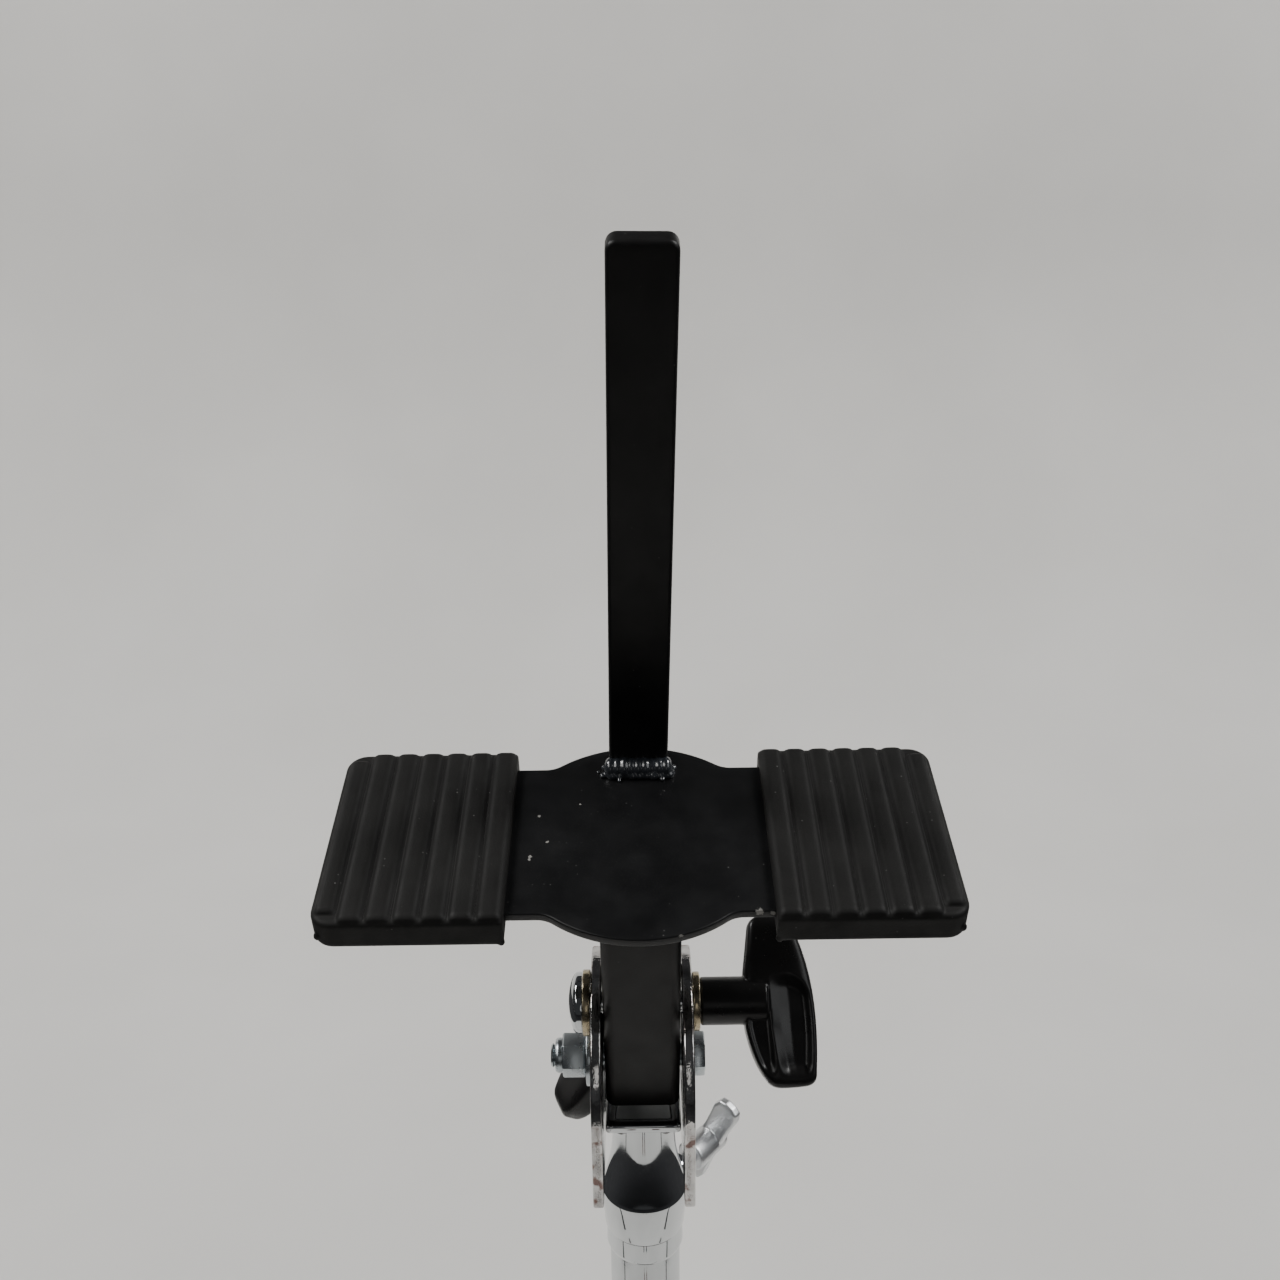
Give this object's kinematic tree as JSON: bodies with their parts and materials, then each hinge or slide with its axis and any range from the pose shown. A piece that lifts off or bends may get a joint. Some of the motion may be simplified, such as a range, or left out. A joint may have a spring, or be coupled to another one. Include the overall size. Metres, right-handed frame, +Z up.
{
  "type": "saxophone stand",
  "caption": "Telescopic tripod stand whose padded cradle plate and upright bar tilt on a quadrant bracket; the legs fold by a sliding hub.",
  "frame": {"origin": "on the floor, on the axis of the tubes", "axes": "+Z up along the tubes, +X to the right across the cradle, -Y to the front"},
  "size_m": [0.4842, 0.4197, 0.8748],
  "materials": {
    "black_paint": "satin black paint",
    "chrome": "bright chrome plate",
    "rubber": "matte moulded rubber",
    "zinc": "zinc plate",
    "brass": "yellow plated",
    "black_plastic": "moulded black plastic"
  },
  "bodies": {
    "base": {"lower_tube": "chrome", "foot_hub": "chrome", "tube_cap": "black_plastic", "height_clamp": "chrome", "height_bush": "black_plastic", "height_nut": "zinc"},
    "height_screw": {"height_wing_screw": "chrome"},
    "leg_slider": {"leg_hub": "chrome", "leg_pin_1": "zinc", "leg_pin_2": "zinc", "leg_pin_3": "zinc"},
    "hub_screw": {"hub_wing_screw": "chrome"},
    "mast": {"upper_tube": "chrome", "tube_spigot": "zinc", "stop_ring": "chrome", "tube_guide": "black_plastic"},
    "tilter": {"side_plate_left": "chrome", "side_plate_right": "chrome", "bracket_web": "chrome", "head_socket": "chrome", "pivot_bolt": "zinc", "pivot_washer": "zinc", "pivot_nut": "zinc"},
    "lock_handle": {"lock_knob": "black_plastic", "lock_screw": "zinc"},
    "socket_screw": {"socket_wing_screw": "chrome"},
    "cradle": {"cradle_plate": "black_paint", "upright_bar": "black_paint", "upright_weld": "black_paint", "rubber_sleeve_left": "rubber", "rubber_sleeve_right": "rubber", "pivot_block": "black_paint", "block_plug": "black_plastic", "clamp_spacer": "zinc", "clamp_bolt": "chrome", "clamp_washer_left": "brass", "clamp_washer_right": "brass"},
    "tilt_handle": {"tilt_knob": "black_plastic"},
    "leg_set_1": {"leg_1": "chrome", "leg_foot_1": "rubber", "brace_rivet_1": "zinc"},
    "brace_set_1": {"brace_1": "chrome", "brace_pin_1": "zinc"},
    "leg_set_2": {"leg_2": "chrome", "leg_foot_2": "rubber", "brace_rivet_2": "zinc"},
    "brace_set_2": {"brace_2": "chrome", "brace_pin_2": "zinc"},
    "leg_set_3": {"leg_3": "chrome", "leg_foot_3": "rubber", "brace_rivet_3": "zinc"},
    "brace_set_3": {"brace_3": "chrome", "brace_pin_3": "zinc"}
  },
  "joints": [
    {"name": "height_slide", "type": "slide", "parent": "base", "child": "mast", "axis": [0, 0, 1], "range_m": [-0.078, 0.14]},
    {"name": "height_screw_turn", "type": "hinge", "parent": "base", "child": "height_screw", "pos_m": [0, 0.028, 0.411], "axis": [1, 0, 0], "continuous": true},
    {"name": "head_swivel", "type": "hinge", "parent": "mast", "child": "tilter", "pos_m": [0, 0, 0.54], "axis": [0, 0, 1], "continuous": true},
    {"name": "lock_handle_turn", "type": "hinge", "parent": "tilter", "child": "lock_handle", "pos_m": [0, 0, 0.565], "axis": [-0.342, 0.9397, 0], "continuous": true},
    {"name": "socket_screw_turn", "type": "hinge", "parent": "tilter", "child": "socket_screw", "pos_m": [0, 0, 0.537], "axis": [0.6428, 0.766, 0], "continuous": true},
    {"name": "cradle_tilt", "type": "hinge", "parent": "tilter", "child": "cradle", "pos_m": [0, 0, 0.6], "axis": [1, 0, 0], "range_deg": [-28, 59]},
    {"name": "tilt_handle_turn", "type": "hinge", "parent": "cradle", "child": "tilt_handle", "pos_m": [0, -0.00772, 0.62692], "axis": [1, 0, 0], "continuous": true},
    {"name": "leg_fold", "type": "slide", "parent": "base", "child": "leg_slider", "axis": [0, 0, 1], "range_m": [0, 0.092]},
    {"name": "hub_screw_turn", "type": "hinge", "parent": "leg_slider", "child": "hub_screw", "pos_m": [0, 0, 0.148], "axis": [-0.866, 0.5, 0], "continuous": true},
    {"name": "leg_1_swing", "type": "hinge", "parent": "leg_slider", "child": "leg_set_1", "pos_m": [0, 0.027, 0.148], "axis": [-1, 0, 0], "range_deg": [0, 30]},
    {"name": "brace_1_swing", "type": "hinge", "parent": "leg_set_1", "child": "brace_set_1", "pos_m": [0, 0.13092, 0.088], "axis": [-1, 0, 0], "range_deg": [-60, 0]},
    {"name": "leg_2_swing", "type": "hinge", "parent": "leg_slider", "child": "leg_set_2", "pos_m": [-0.02338, -0.0135, 0.148], "axis": [0.5, -0.866, 0], "range_deg": [0, 30]},
    {"name": "brace_2_swing", "type": "hinge", "parent": "leg_set_2", "child": "brace_set_2", "pos_m": [-0.11338, -0.06546, 0.088], "axis": [0.5, -0.866, 0], "range_deg": [-60, 0]},
    {"name": "leg_3_swing", "type": "hinge", "parent": "leg_slider", "child": "leg_set_3", "pos_m": [0.02338, -0.0135, 0.148], "axis": [0.5, 0.866, 0], "range_deg": [0, 30]},
    {"name": "brace_3_swing", "type": "hinge", "parent": "leg_set_3", "child": "brace_set_3", "pos_m": [0.11338, -0.06546, 0.088], "axis": [0.5, 0.866, 0], "range_deg": [-60, 0]}
  ],
  "couplings": [
    {"joint": "leg_1_swing", "follows": "leg_fold", "rad_per_m": 5.6818},
    {"joint": "brace_1_swing", "follows": "leg_fold", "rad_per_m": -11.364},
    {"joint": "leg_2_swing", "follows": "leg_fold", "rad_per_m": 5.6818},
    {"joint": "brace_2_swing", "follows": "leg_fold", "rad_per_m": -11.364},
    {"joint": "leg_3_swing", "follows": "leg_fold", "rad_per_m": 5.6818},
    {"joint": "brace_3_swing", "follows": "leg_fold", "rad_per_m": -11.364}
  ]
}
